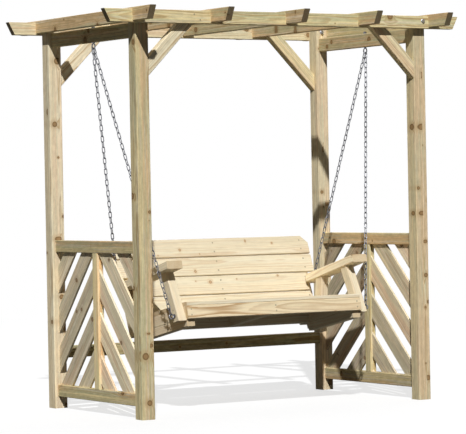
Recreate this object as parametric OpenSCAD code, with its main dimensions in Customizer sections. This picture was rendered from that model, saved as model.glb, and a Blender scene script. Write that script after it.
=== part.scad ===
// Garden swing seat: a two-seat slatted bench hung by four chains inside a
// free-standing pergola frame of sawn softwood, with herringbone side panels.
// Millimetres. X runs along the bench, -Y is the open front, Z is up.
// The origin is on the ground at the middle of the four posts.

/* [Frame] */
// Side of a square post
post_size = 70; // [60:1:90]
// Distance between the left and right post centres
post_spacing_x = 1625; // [1500:5:1900]
// Distance between the front and rear post centres
post_spacing_y = 890; // [820:5:1100]
// Height of the underside of the two long beams
beam_underside = 1890; // [1800:5:2200]
// Height of the long beams and of the rafters
beam_height = 64; // [50:1:90]
// Thickness of the long beams
beam_thickness = 36; // [28:1:50]
// How far a long beam reaches past the outer face of a post
beam_overhang = 185.5; // [120:0.5:300]
// How far the end of a beam or rafter is cut back at its lower edge
end_cut = 33; // [10:1:60]
// Height of the beam bolts above the underside of the long beams
bolt_rise = 40; // [30:1:46]
// Size of the eased edge on every piece of timber
edge = 2.5; // [1:0.5:4]

/* [Roof] */
// Number of rafters
rafter_count = 5; // [3:1:7]
// Thickness of a rafter
rafter_thickness = 34; // [28:1:45]
// How far a rafter reaches past the outer face of a beam
rafter_overhang = 168; // [80:2:260]
// How far the rafters stand above the beams
rafter_rise = 8; // [2:1:16]

/* [Rails and braces] */
// Thickness of the rails that join the posts
rail_thickness = 35; // [28:1:45]
// Height of the rails that join the posts
rail_height = 60; // [45:1:80]
// How far the two beams that carry the chains lie below the long beams, underside to underside
side_beam_drop = 64; // [62:1:130]
// Height of the two beams that carry the chains
side_beam_height = 70; // [60:1:74]
// Height of the underside of the rear stretcher
stretcher_underside = 252; // [180:1:260]
// How far below the long beams a front brace leaves its post
brace_drop_front = 250; // [210:1:330]
// How far below the long beams a rear brace leaves its post
brace_drop_rear = 272; // [210:1:330]
// Width of a brace across its slope
brace_width = 60; // [45:1:70]
// Thickness of a brace
brace_thickness = 45; // [30:1:50]
// How far below the top of the long beams a brace ends
brace_head_drop = 20; // [10:1:40]

/* [Side panels] */
// Height of the top edge of a side panel
panel_top = 850; // [760:1:900]
// Height of the bottom edge of a side panel
panel_bottom = 60; // [40:1:120]
// Width of the upright in the middle of a panel
muntin_width = 50; // [35:1:70]
// Width of a herringbone slat
panel_slat_width = 88; // [80:1:110]
// Thickness of a herringbone slat
panel_slat_thickness = 11; // [8:1:16]
// Depth of the groove that holds the slat ends
groove_depth = 8; // [4:1:12]
// Slope of the slats in the left panel
slope_left = 48; // [42:0.5:50]
// Slope of the slats in the right panel
slope_right = 44; // [42:0.5:50]
// Clear gap between slats, left panel, rear half
gap_left_rear = 47; // [30:1:60]
// Clear gap between slats, left panel, front half
gap_left_front = 53; // [30:1:60]
// Clear gap between slats, right panel, rear half
gap_right_rear = 56; // [30:1:60]
// Clear gap between slats, right panel, front half
gap_right_front = 56; // [30:1:60]
// Height where the lowest gap meets the muntin, left panel, rear half
start_left_rear = 166; // [60:1:200]
// Height where the lowest gap meets the muntin, left panel, front half
start_left_front = 108; // [60:1:200]
// Height where the lowest gap meets the muntin, right panel, rear half
start_right_rear = 147; // [60:1:200]
// Height where the lowest gap meets the muntin, right panel, front half
start_right_front = 160; // [60:1:200]

/* [Seat] */
// Tilt of the hanging bench, front edge up
seat_tilt = 11.3; // [6:0.1:14]
// How far the front edge of the seat hangs in front of the pivots
seat_front = 342; // [320:1:380]
// Height of the front edge of the seat
seat_height = 549; // [500:1:600]
// Depth of the seat from its front edge to the backrest
seat_depth = 455; // [430:1:500]
// Length of the seat slats and of the front board
seat_length = 1024; // [960:2:1100]
// Number of seat slats
seat_slat_count = 5; // [4:1:6]
// Thickness of seat slats, back slats and front board
slat_thickness = 20; // [16:1:24]
// Clear gap between two seat slats
seat_slat_gap = 6.5; // [4:0.5:10]
// Height of the front board
front_board_height = 64; // [56:1:80]
// Thickness of the sticks that make the bench frame
stick = 45; // [38:1:50]
// Height of the upper side rails, the cross rail and the bearer
upper_rail_height = 56; // [50:1:70]
// Height of the lower side rails
lower_rail_height = 43; // [35:1:60]
// How far the upper side rails reach behind the uprights, measured at seat level
side_rail_past = 5; // [0:1:15]
// How far the lower side rails stop short of the backrest
lower_rail_short = 18; // [0:1:40]
// How far the rear cross rail reaches forward under the seat
cross_rail_depth = 40; // [30:1:60]
// Clear gap between the rear seat slat and the backrest
seat_to_back = 1; // [1:0.5:4]

/* [Backrest] */
// Lean of the backrest, measured from square to the seat
back_recline = 10.5; // [6:0.5:16]
// Width of a back slat
back_slat_width = 97; // [85:1:105]
// Clear gap between two back slats
back_slat_gap = 6; // [4:1:10]
// How far the two long upper back slats reach past the uprights
long_slat_overhang = 29; // [10:1:31]
// How far the two short lower back slats lap onto the uprights
short_slat_lap = 19; // [12:1:30]
// Size of the cut-off upper corners of the top slat
corner_cut = 40; // [20:1:60]
// Depth of the back uprights behind the slats
upright_depth = 58; // [40:1:65]
// How far the side uprights reach below the upper side rails
upright_tail = 9; // [0:1:20]
// How far the foot of the middle upright stays above the underside of the cross rail
middle_foot_rise = 26; // [20:1:36]
// How far the top slat stands above the uprights
top_slat_rise = 14; // [6:1:30]

/* [Arms] */
// Width of an arm
arm_width = 87; // [80:1:95]
// Thickness of an arm
arm_thickness = 40; // [30:1:45]
// Height of the front end of an arm above the seat
arm_height = 206; // [180:1:240]
// Slope of an arm, falling to the rear, relative to the seat
arm_slope = 2.8; // [0:0.1:6]
// How far the inner edge of an arm overhangs the seat
arm_overhang = 7; // [0:1:12]
// How far the front end of an arm lies behind the front edge of the seat
arm_front = 10; // [0:1:20]
// How far behind the seat the notch round the back slats starts in an arm
arm_notch_start = 5; // [0:1:15]
// Clear gap beside the back slats in that notch
arm_notch_gap = 2; // [1:0.5:4]
// Depth of an arm post
arm_post_depth = 55; // [45:1:60]
// Lean of the arm posts, relative to square to the seat
arm_post_lean = 16; // [8:0.5:20]
// How far the foot of a front arm post stands behind the front edge of the seat
front_post_start = 16; // [10:1:24]
// How far the foot of a rear arm post reaches behind the front of the backrest
rear_post_past = 6; // [0:1:12]
// How far a front arm post reaches below the upper side rail
front_post_tail = 14; // [10:1:24]
// How far a rear arm post reaches below the lower side rail
rear_post_tail = 10; // [4:1:20]

/* [Chains and ironwork] */
// Thickness of the chain wire
chain_wire = 4.5; // [4:0.25:5]
// Clear width inside a chain link
link_inner_width = 9; // [8:0.5:10]
// Nominal clear length inside a chain link
link_inner_length = 28; // [24:1:36]
// Thickness of the ring of an eye bolt
eye_wire = 7; // [6:0.5:8]
// Radius of the centre line of an eye on the bench
eye_radius = 11.5; // [11:0.5:13]
// Radius of the centre line of a hanger's eye, which holds two chains
hanger_radius = 14; // [13:0.5:16]
// Distance between those two chains at the wire of the hanger's eye
chain_spread = 9; // [8.6:0.1:9.6]
// Diameter of bolts and eye-bolt shanks
bolt_diameter = 10; // [8:1:12]
// Thickness of a washer
washer_thickness = 2; // [1.5:0.5:3]
// Height of a nut
nut_height = 8; // [6:0.5:9]
// Height of a bolt head
head_height = 6; // [5:0.5:8]
// Bare thread past a nut
bolt_show = 2; // [1:0.5:3]
// Bare shank between a side beam and the ring of its hanger
hanger_drop = 2; // [2:1:10]
// Height of the rear chain's eye above the seat
rear_eye_height = 160; // [140:1:175]
// How far the rear chain's eye lies behind the front face of its upright
rear_eye_inset = 18; // [14:1:26]
// Bare shank between the bench and the ring of a front eye bolt
front_eye_neck = 3; // [3:1:10]
// Bare shank between the bench and the ring of a rear eye bolt
rear_eye_neck = 18; // [16:1:24]

/* [Hidden] */

$fn = 48;
clearance = 0.3;       // running gap between loose links, and round bolts
far = 3000;            // longer than any piece, for trimming solids
past = 1;              // how far a cut reaches past the surface it goes through
nut_ratio = 1.85;      // width of a nut over its corners, as a share of the bolt
washer_ratio = 2.1;    // width of a washer, as a share of the bolt
eye_share = 0.65;      // place of a front eye across its post, from the front
eye_drop_share = 0.75; // place of a front eye down the upper side rail
brace_slope = 45;

treated = [0.78, 0.72, 0.53];
fresh = [0.91, 0.83, 0.66];
zinc = [0.72, 0.73, 0.76];

// Frame places
half_x = post_spacing_x / 2;
half_y = post_spacing_y / 2;
post_inner_x = half_x - post_size / 2;
post_outer_x = half_x + post_size / 2;
post_inner_y = half_y - post_size / 2;
post_outer_y = half_y + post_size / 2;
beam_top = beam_underside + beam_height;
rafter_underside = beam_underside + rafter_rise;
rafter_top = rafter_underside + beam_height;
lap_level = (rafter_underside + beam_top) / 2;
rafter_reach = post_outer_y + beam_thickness + rafter_overhang;
rafter_span = 2 * (post_outer_x + rafter_thickness / 2);
rafter_step = rafter_span / (rafter_count - 1);
bolt_level = beam_underside + bolt_rise;
side_beam_underside = beam_underside - side_beam_drop;

// Panel places
opening_bottom = panel_bottom + rail_height;
opening_top = panel_top - rail_height;
left_gaps = [gap_left_rear, gap_left_front];
left_starts = [start_left_rear, start_left_front];
right_gaps = [gap_right_rear, gap_right_front];
right_starts = [start_right_rear, start_right_front];

// Bench places, in the seat's own axes: X, depth to the rear, height square to the seat
seat_half = seat_length / 2;
long_slat_length = 2 * (seat_half + stick + long_slat_overhang);
short_slat_length = 2 * (seat_half + short_slat_lap);
rail_top = -slat_thickness;
upper_rail_bottom = rail_top - upper_rail_height;
lower_rail_bottom = upper_rail_bottom - lower_rail_height;
lower_rail_end = seat_depth - lower_rail_short;
side_rail_end = seat_depth + upright_depth + side_rail_past;
upright_low = upper_rail_bottom - upright_tail;
middle_low = upper_rail_bottom + middle_foot_rise;
back_height = 4 * back_slat_width + 3 * back_slat_gap;
upright_high = back_height - top_slat_rise;
upright_front = slat_thickness;
cross_rail_front = seat_depth - cross_rail_depth;
arm_inner = seat_half - arm_overhang;
arm_notch = seat_depth + arm_notch_start;
arm_post_run = arm_post_depth / cos(arm_post_lean);
front_post_foot = upper_rail_bottom - front_post_tail;
rear_post_foot = lower_rail_bottom - rear_post_tail;
rear_post_end = seat_depth + rear_post_past;
rear_eye_depth = seat_depth
    + (upright_front + rear_eye_inset) / cos(back_recline)
    + rear_eye_height * tan(back_recline);

// Ironwork places
bolt_tail = washer_thickness + nut_height + bolt_show;
hanger_eye_z = side_beam_underside - hanger_drop - eye_wire / 2 - hanger_radius;
// A chain's top link ends this far over the middle of the hanger's wire
fork_over = (eye_wire + chain_wire + 3 * clearance) / 2;
eye_seat = eye_radius - (eye_wire + chain_wire) / 2 - clearance;
front_eye_depth = front_post_start + arm_post_run * eye_share;
front_eye_height = rail_top - upper_rail_height * eye_drop_share;

function seat_point(x, depth, height) = [
    x,
    -seat_front + depth * cos(seat_tilt) + height * sin(seat_tilt),
    seat_height - depth * sin(seat_tilt) + height * cos(seat_tilt)
];
function arm_top_at(depth) = arm_height - depth * tan(arm_slope);
// Middle of the hanger's wire where a front or rear chain goes round it
function fork_point(side, front) = [
    side * half_x,
    front * chain_spread / 2,
    hanger_eye_z - sqrt(pow(hanger_radius, 2) - pow(chain_spread / 2, 2))
];
function eye_x(neck) = seat_half + stick + neck + eye_radius + eye_wire / 2;
function front_eye(side) = seat_point(side * eye_x(front_eye_neck), front_eye_depth, front_eye_height);
function rear_eye(side) = seat_point(side * eye_x(rear_eye_neck), rear_eye_depth, rear_eye_height);

// ---------------------------------------------------------------- shapes

// Rectangle with eased corners, lower left corner at the origin
module eased(width, height, e = edge) {
    polygon([
        [e, 0], [width - e, 0], [width, e], [width, height - e],
        [width - e, height], [e, height], [0, height - e], [0, e]
    ]);
}

// Eased bars that run along one axis from their lowest corner
module bar_x(length, depth, height, e = edge) {
    rotate([90, 0, 90]) linear_extrude(length) eased(depth, height, e);
}

module bar_y(width, length, height, e = edge) {
    translate([0, length, 0]) rotate([90, 0, 0]) linear_extrude(length) eased(width, height, e);
}

module bar_z(width, depth, length, e = edge) {
    linear_extrude(length) eased(width, depth, e);
}

// Block that holds everything of a profile drawn in the Y-Z plane
module side_profile(points) {
    translate([-far / 2, 0, 0]) rotate([90, 0, 90]) linear_extrude(far) polygon(points);
}

// Block that holds everything of a profile drawn in the X-Z plane
module front_profile(points) {
    translate([0, far / 2, 0]) rotate([90, 0, 0]) linear_extrude(far) polygon(points);
}

// Children drawn for the right side, or mirrored to the left
module on_side(side) {
    if (side < 0) mirror([1, 0, 0]) children();
    else children();
}

// Seat's own axes, and the backrest's own axes on top of them
module on_seat() {
    translate([0, -seat_front, seat_height]) rotate([-seat_tilt, 0, 0]) children();
}

module on_back() {
    on_seat() translate([0, seat_depth, 0]) rotate([-back_recline, 0, 0]) children();
}

// Z axis turned onto the line from one point to a higher one
module along(start, end) {
    run = end - start;
    translate(start)
        rotate([atan2(-run[1], run[2]), 0, 0])
            rotate([0, asin(run[0] / norm(run)), 0])
                children();
}

// Ring in the X-Z plane
module ring(radius, wire) {
    rotate([90, 0, 0]) rotate_extrude() translate([radius, 0]) circle(d = wire);
}

// Closed link with round ends in the X-Z plane, centred. The straight part is rounded to
// 0.02 mm, so that half of it is a short number too and the four pieces meet exactly.
module link(radius, wire, length) {
    straight = round(50 * (length - 2 * radius)) / 50;
    for (end = [-1, 1])
        translate([0, 0, end * straight / 2]) rotate([end * 90, 0, 0])
            rotate_extrude(angle = 180) translate([radius, 0]) circle(d = wire);
    for (limb = [-1, 1])
        translate([limb * radius, 0, -straight / 2]) cylinder(d = wire, h = straight);
}

module hex_nut(height) {
    cylinder(d = bolt_diameter * nut_ratio, h = height, $fn = 6);
}

module washer() {
    cylinder(d = bolt_diameter * washer_ratio, h = washer_thickness);
}

module nut_and_washer(level) {
    translate([0, 0, level]) washer();
    translate([0, 0, level + washer_thickness]) hex_nut(nut_height);
}

// ---------------------------------------------------------------- frame

module post(side, front) {
    bolt_end = post_outer_y + beam_thickness;
    color(treated) difference() {
        translate([side * half_x - post_size / 2, front * half_y - post_size / 2, 0])
            bar_z(post_size, post_size, beam_top);
        translate([side * half_x, 0, bolt_level]) rotate([front * -90, 0, 0])
            cylinder(d = bolt_diameter + 2 * clearance, h = bolt_end);
    }
}

// Long beam with raked ends, lap joints for the rafters and bolt holes
module long_beam(front) {
    place = front < 0 ? -post_outer_y - beam_thickness : post_outer_y;
    high = post_outer_x + beam_overhang;
    low = high - end_cut;
    color(treated) difference() {
        intersection() {
            translate([-high, place, beam_underside]) bar_x(2 * high, beam_thickness, beam_height);
            front_profile([[-low, beam_underside], [low, beam_underside], [high, beam_top], [-high, beam_top]]);
        }
        for (i = [0 : rafter_count - 1])
            translate([rafter_x(i) - rafter_thickness / 2, place - past, lap_level])
                cube([rafter_thickness, beam_thickness + 2 * past, beam_height]);
        for (side = [-1, 1])
            translate([side * half_x, place - past, bolt_level]) rotate([-90, 0, 0])
                cylinder(d = bolt_diameter + 2 * clearance, h = beam_thickness + 2 * past);
    }
}

function rafter_x(i) = -rafter_span / 2 + i * rafter_step;

// Rafter with undercut ends, halved over both beams
module rafter(i) {
    low = rafter_reach - end_cut;
    color(treated) difference() {
        intersection() {
            translate([rafter_x(i) - rafter_thickness / 2, -rafter_reach, rafter_underside])
                bar_y(rafter_thickness, 2 * rafter_reach, beam_height);
            side_profile([
                [-low, rafter_underside], [low, rafter_underside],
                [rafter_reach, rafter_top], [-rafter_reach, rafter_top]
            ]);
        }
        for (place = [-post_outer_y - beam_thickness, post_outer_y])
            translate([rafter_x(i) - rafter_thickness, place, rafter_underside - past])
                cube([2 * rafter_thickness, beam_thickness, lap_level - rafter_underside + past]);
    }
}

// Rail between a front and a rear post, centred on them
module side_rail_between(side, underside, height = rail_height) {
    translate([side * half_x - rail_thickness / 2, -post_inner_y, underside])
        bar_y(rail_thickness, 2 * post_inner_y, height);
}

module side_beam(side) {
    color(treated) difference() {
        side_rail_between(side, side_beam_underside, side_beam_height);
        translate([side * half_x, 0, side_beam_underside - past])
            cylinder(d = bolt_diameter + 2 * clearance, h = side_beam_height + 2 * past);
    }
}

// Diagonal brace, its outer face flush with the outer faces of the posts
module brace(side, front) {
    foot = beam_underside - (front < 0 ? brace_drop_front : brace_drop_rear);
    rise = brace_width / cos(brace_slope);
    top = beam_top - brace_head_drop;
    reach = top - foot;
    thickness_start = front < 0 ? -post_outer_y : post_outer_y - brace_thickness;
    color(treated) on_side(side) intersection() {
        translate([post_inner_x, thickness_start, foot]) rotate([0, brace_slope - 180, 0])
            translate([-brace_width, 0, -brace_width]) bar_x(2 * reach, brace_thickness, brace_width);
        front_profile([
            [post_inner_x, foot], [post_inner_x, foot + rise],
            [post_inner_x - reach + rise, top], [post_inner_x - reach, top]
        ]);
    }
}

module rear_stretcher() {
    color(treated) translate([-post_inner_x, half_y - rail_thickness / 2, stretcher_underside])
        bar_x(2 * post_inner_x, rail_thickness, rail_height);
}

// Panel rail with the groove that takes the slat ends, in its lower or upper face
module panel_rail(side, underside, groove_down) {
    groove = panel_slat_thickness + 2 * clearance;
    level = groove_down ? underside - past : underside + rail_height - groove_depth;
    color(treated) difference() {
        side_rail_between(side, underside);
        translate([side * half_x - groove / 2, -post_inner_y - past, level])
            cube([groove, 2 * post_inner_y + 2 * past, groove_depth + past]);
    }
}

module panel_muntin(side) {
    groove = panel_slat_thickness + 2 * clearance;
    color(treated) difference() {
        translate([side * half_x - rail_thickness / 2, -muntin_width / 2, opening_bottom])
            bar_z(rail_thickness, muntin_width, opening_top - opening_bottom);
        for (front = [-1, 1])
            translate([
                side * half_x - groove / 2,
                front * (muntin_width - groove_depth) / 2 - groove_depth / 2 - (1 - front) / 2 * past,
                opening_bottom - past
            ])
                cube([groove, groove_depth + past, opening_top - opening_bottom + 2 * past]);
    }
}

// Slats of one half of a panel, falling away from the muntin
module herringbone(side, front, slope, gap, start) {
    inner = muntin_width / 2 - groove_depth + clearance;
    reach = post_inner_y - inner;
    low = opening_bottom - groove_depth + clearance;
    high = opening_top + groove_depth - clearance;
    pitch = (panel_slat_width + gap) / cos(slope);
    count = ceil((high + reach * tan(slope) - start) / pitch);
    rotate([0, 0, front < 0 ? 180 : 0]) intersection() {
        translate([-far / 2, inner, low]) cube([far, reach, high - low]);
        for (i = [-1 : count])
            translate([front * side * half_x, muntin_width / 2, start + (i + 0.5) * pitch])
                rotate([-slope, 0, 0])
                    translate([-panel_slat_thickness / 2, -reach, -panel_slat_width / 2])
                        cube([panel_slat_thickness, 3 * reach, panel_slat_width]);
    }
}

// Both halves; the gaps and their starting heights are for the rear and the front half
module panel_slats(side, slope, gaps, starts) {
    color(treated) {
        herringbone(side, 1, slope, gaps[0], starts[0]);
        herringbone(side, -1, slope, gaps[1], starts[1]);
    }
}

// Bolts that clamp the long beams to the posts, with heads outside and nuts inside
module beam_bolts() {
    grip = beam_thickness + post_size;
    color(zinc) for (side = [-1, 1], front = [-1, 1])
        translate([side * half_x, front * (post_outer_y + beam_thickness), bolt_level])
            rotate([front * 90, 0, 0]) {
                translate([0, 0, -washer_thickness]) washer();
                translate([0, 0, -washer_thickness - head_height]) hex_nut(head_height);
                translate([0, 0, -washer_thickness])
                    cylinder(d = bolt_diameter, h = washer_thickness + grip + bolt_tail);
                nut_and_washer(grip);
            }
}

// Eye bolt through a side beam, its ring below, in line with the beam, and its nut on top
module hanger(side) {
    shank_start = hanger_eye_z + hanger_radius;
    beam_over = side_beam_underside + side_beam_height;
    color(zinc) translate([side * half_x, 0, 0]) {
        translate([0, 0, hanger_eye_z]) rotate([0, 0, 90]) ring(hanger_radius, eye_wire);
        translate([0, 0, shank_start]) cylinder(d = bolt_diameter, h = beam_over + bolt_tail - shank_start);
        translate([0, 0, side_beam_underside - washer_thickness]) washer();
        nut_and_washer(beam_over);
    }
}

// ---------------------------------------------------------------- bench

module front_board() {
    color(fresh) on_seat() translate([-seat_half, 0, rail_top - front_board_height])
        bar_x(seat_length, slat_thickness, front_board_height);
}

module seat_slats() {
    run = seat_depth - slat_thickness * tan(back_recline) - seat_to_back;
    width = (run - (seat_slat_count - 1) * seat_slat_gap) / seat_slat_count;
    color(fresh) on_seat() for (i = [0 : seat_slat_count - 1])
        translate([-seat_half, i * (width + seat_slat_gap), rail_top])
            bar_x(seat_length, width, slat_thickness);
}

module side_rail(side) {
    color(fresh) difference() {
        on_seat() on_side(side)
            translate([seat_half - stick, slat_thickness, upper_rail_bottom])
                bar_y(stick, side_rail_end - slat_thickness, upper_rail_height);
        eye_bolt_hole(front_eye(side), side);
    }
}

module lower_rail(side) {
    color(fresh) on_seat() on_side(side)
        translate([seat_half - stick, slat_thickness, lower_rail_bottom])
            bar_y(stick, lower_rail_end - slat_thickness, lower_rail_height);
}

// Cross rail under the rear of the seat, its rear face bevelled to the backrest
module rear_cross_rail() {
    length = seat_length - 2 * stick;
    rear_at = upright_front / cos(back_recline);
    color(fresh) on_seat() translate([-length / 2, 0, 0]) rotate([90, 0, 90]) linear_extrude(length)
        polygon([
            [cross_rail_front, upper_rail_bottom],
            [seat_depth + rear_at + upper_rail_bottom * tan(back_recline), upper_rail_bottom],
            [seat_depth + rear_at + rail_top * tan(back_recline), rail_top],
            [cross_rail_front, rail_top]
        ]);
}

module seat_bearer() {
    color(fresh) on_seat() translate([-stick / 2, slat_thickness, upper_rail_bottom])
        bar_y(stick, cross_rail_front - slat_thickness, upper_rail_height);
}

// One back slat, numbered from the seat upwards
module back_slat(index, length) {
    translate([-length / 2, 0, back_slat_gap / 2 + index * (back_slat_width + back_slat_gap)])
        bar_x(length, slat_thickness, back_slat_width);
}

// The two long slats; the upper one has its top corners cut off
module back_slats_long() {
    half = long_slat_length / 2;
    top = back_slat_gap / 2 + back_height;
    color(fresh) on_back() {
        back_slat(2, long_slat_length);
        intersection() {
            back_slat(3, long_slat_length);
            front_profile([
                [-half, 0], [half, 0], [half, top - corner_cut], [half - corner_cut, top],
                [corner_cut - half, top], [-half, top - corner_cut]
            ]);
        }
    }
}

module back_slats_short() {
    color(fresh) on_back() for (i = [0, 1]) back_slat(i, short_slat_length);
}

module upright(side) {
    color(fresh) difference() {
        on_back() on_side(side) translate([seat_half, upright_front, upright_low])
            bar_z(stick, upright_depth, upright_high - upright_low);
        eye_bolt_hole(rear_eye(side), side);
    }
}

// Middle upright, cut off above the underside of the cross rail that it is fixed to
module upright_middle() {
    color(fresh) on_back() translate([-stick / 2, upright_front, middle_low])
        bar_z(stick, upright_depth, upright_high - middle_low);
}

// Arm, notched at its inner rear corner round the end of the short back slats
module arm(side) {
    // The uprights' front face, in the seat's axes, at seat level and at twice the arm's height
    seat_level = seat_depth + upright_front / cos(back_recline);
    twice = 2 * arm_height;
    slat_end = short_slat_length / 2 + arm_notch_gap;
    color(fresh) on_seat() on_side(side) difference() {
        intersection() {
            translate([arm_inner, 0, arm_height]) rotate([-arm_slope, 0, 0])
                translate([0, arm_front, -arm_thickness]) bar_y(arm_width, 2 * seat_depth, arm_thickness);
            side_profile([
                [-seat_depth, 0], [seat_level, 0],
                [seat_level + twice * tan(back_recline), twice], [-seat_depth, twice]
            ]);
        }
        translate([arm_inner - past, arm_notch, 0]) cube([slat_end - arm_inner + past, far, twice]);
    }
}

// Space below an arm and above a foot level, in the seat's axes
module under_arm(foot) {
    ahead = -seat_depth;
    behind = 2 * seat_depth;
    drop = arm_thickness / cos(arm_slope);
    side_profile([
        [ahead, foot], [behind, foot], [behind, arm_top_at(behind) - drop], [ahead, arm_top_at(ahead) - drop]
    ]);
}

// Leaning arm post: start is where its lower front corner stands
module arm_post(side, start, foot, lean) {
    length = 2 * (arm_height - foot);
    on_seat() on_side(side) intersection() {
        translate([seat_half, start, foot]) rotate([-lean, 0, 0])
            translate([0, 0, -arm_post_depth]) bar_z(stick, arm_post_depth, length);
        under_arm(foot);
    }
}

module arm_post_front(side) {
    color(fresh) difference() {
        arm_post(side, front_post_start, front_post_foot, arm_post_lean);
        eye_bolt_hole(front_eye(side), side);
    }
}

module arm_post_rear(side) {
    color(fresh) arm_post(side, rear_post_end - arm_post_run, rear_post_foot, -arm_post_lean);
}

// Hole from an eye inwards, past the two sticks that its bolt clamps
module eye_bolt_hole(eye, side) {
    translate(eye) rotate([0, side * -90, 0])
        cylinder(d = bolt_diameter + 2 * clearance, h = seat_half);
}

// Eye bolt with its shank along X and its ring turned into the line of its chain
module eye_bolt(eye, neck, grip, side, front) {
    run = fork_point(side, front) - eye;
    face = eye_radius + eye_wire / 2 + neck;
    translate(eye) {
        rotate([atan2(-run[1], run[2]), 0, 0]) ring(eye_radius, eye_wire);
        rotate([0, side * -90, 0]) {
            translate([0, 0, eye_radius])
                cylinder(d = bolt_diameter, h = face + grip + bolt_tail - eye_radius);
            translate([0, 0, face - washer_thickness]) washer();
            nut_and_washer(face + grip);
        }
    }
}

module seat_eye_bolts() {
    color(zinc) for (side = [-1, 1]) {
        eye_bolt(front_eye(side), front_eye_neck, 2 * stick, side, -1);
        eye_bolt(rear_eye(side), rear_eye_neck, stick, side, 1);
    }
}

// Chain of separate links from an eye bolt on the bench up into a hanger's eye. The
// links alternate by a quarter turn, so an even count meets both ends squarely.
module chain(eye, side, front) {
    fork = fork_point(side, front);
    radius = (link_inner_width + chain_wire) / 2;
    bite = chain_wire + clearance;
    run = norm(fork - eye) + fork_over - eye_seat - bite;
    count = 2 * round(run / (link_inner_length - clearance) / 2);
    step = run / count;
    length = step + bite;
    color(zinc) along(eye, fork) for (i = [0 : count - 1])
        translate([0, 0, eye_seat + length / 2 + i * step]) rotate([0, 0, i % 2 == 0 ? 90 : 0])
            link(radius, chain_wire, length);
}

post(-1, -1);  // post_front_left
post(1, -1);  // post_front_right
post(-1, 1);  // post_rear_left
post(1, 1);  // post_rear_right
long_beam(-1);  // beam_front
long_beam(1);  // beam_rear
rafter(0);  // rafter_1
rafter(1);  // rafter_2
rafter(2);  // rafter_3
rafter(3);  // rafter_4
rafter(4);  // rafter_5
side_beam(-1);  // side_beam_left
side_beam(1);  // side_beam_right
brace(-1, -1);  // brace_front_left
brace(1, -1);  // brace_front_right
brace(-1, 1);  // brace_rear_left
brace(1, 1);  // brace_rear_right
rear_stretcher();
panel_rail(-1, opening_top, true);  // panel_left_top_rail
panel_rail(-1, panel_bottom, false);  // panel_left_bottom_rail
panel_muntin(-1);  // panel_left_muntin
panel_slats(-1, slope_left, left_gaps, left_starts);  // panel_left_slats
panel_rail(1, opening_top, true);  // panel_right_top_rail
panel_rail(1, panel_bottom, false);  // panel_right_bottom_rail
panel_muntin(1);  // panel_right_muntin
panel_slats(1, slope_right, right_gaps, right_starts);  // panel_right_slats
beam_bolts();
hanger(-1);  // hanger_left
hanger(1);  // hanger_right
front_board();
seat_slats();
side_rail(-1);  // side_rail_left
side_rail(1);  // side_rail_right
lower_rail(-1);  // lower_rail_left
lower_rail(1);  // lower_rail_right
rear_cross_rail();
seat_bearer();
back_slats_long();
back_slats_short();
upright(-1);  // upright_left
upright(1);  // upright_right
upright_middle();
arm(-1);  // arm_left
arm(1);  // arm_right
arm_post_front(-1);  // arm_post_front_left
arm_post_front(1);  // arm_post_front_right
arm_post_rear(-1);  // arm_post_rear_left
arm_post_rear(1);  // arm_post_rear_right
seat_eye_bolts();
chain(front_eye(-1), -1, -1);  // chain_front_left
chain(front_eye(1), 1, -1);  // chain_front_right
chain(rear_eye(-1), -1, 1);  // chain_rear_left
chain(rear_eye(1), 1, 1);  // chain_rear_right
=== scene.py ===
"""Garden swing seat: finishes, small fixings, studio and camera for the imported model.

Lengths are metres. X runs along the bench, -Y is the open front, Z is up, and the
origin is on the ground in the middle of the four posts.
"""

import logging
import math
from dataclasses import dataclass, replace
from enum import Enum
from typing import Optional, Sequence, Union

import bpy
import numpy as np
from mathutils import Matrix, Vector


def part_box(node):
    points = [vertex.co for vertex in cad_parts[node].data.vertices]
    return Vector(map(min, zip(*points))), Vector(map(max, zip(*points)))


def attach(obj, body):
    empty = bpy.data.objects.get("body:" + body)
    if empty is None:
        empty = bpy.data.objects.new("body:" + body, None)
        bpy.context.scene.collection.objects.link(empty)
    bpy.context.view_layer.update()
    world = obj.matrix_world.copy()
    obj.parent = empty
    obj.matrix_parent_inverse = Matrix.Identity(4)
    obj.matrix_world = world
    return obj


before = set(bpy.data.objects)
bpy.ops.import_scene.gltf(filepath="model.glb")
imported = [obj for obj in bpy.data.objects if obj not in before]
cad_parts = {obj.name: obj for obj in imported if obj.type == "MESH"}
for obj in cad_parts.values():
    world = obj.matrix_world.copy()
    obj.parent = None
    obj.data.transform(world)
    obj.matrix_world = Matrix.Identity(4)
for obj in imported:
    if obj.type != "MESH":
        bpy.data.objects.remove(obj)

log = logging.getLogger("swing_seat")

Colour = tuple[float, float, float]
Place = tuple[float, float, float]
Pair = tuple[float, float]
Branch = tuple[str, float, float, float]
Socket = bpy.types.NodeSocket
Value = Union[Socket, float, tuple]

X: Place = (1.0, 0.0, 0.0)
Y: Place = (0.0, 1.0, 0.0)
Z: Place = (0.0, 0.0, 1.0)


class Body(Enum):
    """Bodies that pieces ride on."""

    FRAME = "frame"
    BENCH = "bench"


class Side(Enum):
    """Left and right of the swing, seen from the front."""

    LEFT = -1
    RIGHT = 1

    @property
    def word(self) -> str:
        """Name of the side as it stands in node names."""
        return self.name.lower()


class Pattern(Enum):
    """How the boards of one node lie beside each other."""

    SINGLE = "one board"
    ROW = "boards side by side, square to their length"
    HERRINGBONE = "boards that slope down from both sides of a muntin"


# --shader writing


@dataclass(frozen=True)
class Figure:
    """Noise drawn out along x: changes in a metre along and across it, and fineness."""

    along: float
    across: float
    detail: float = 2.0
    rough: float = 0.5


DRIFT = Figure(1.3, 4.0)
GRAIN = Figure(4.0, 60.0)
FIBRE = Figure(9.0, 420.0, rough=0.6)
PATCH = Figure(2.2, 14.0, detail=3.0)
STREAK = Figure(1.7, 85.0, detail=3.0, rough=0.6)
MOTTLE = Figure(26.0, 75.0, detail=4.0, rough=0.7)
DULLING = Figure(60.0, 60.0, detail=3.0)


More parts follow.
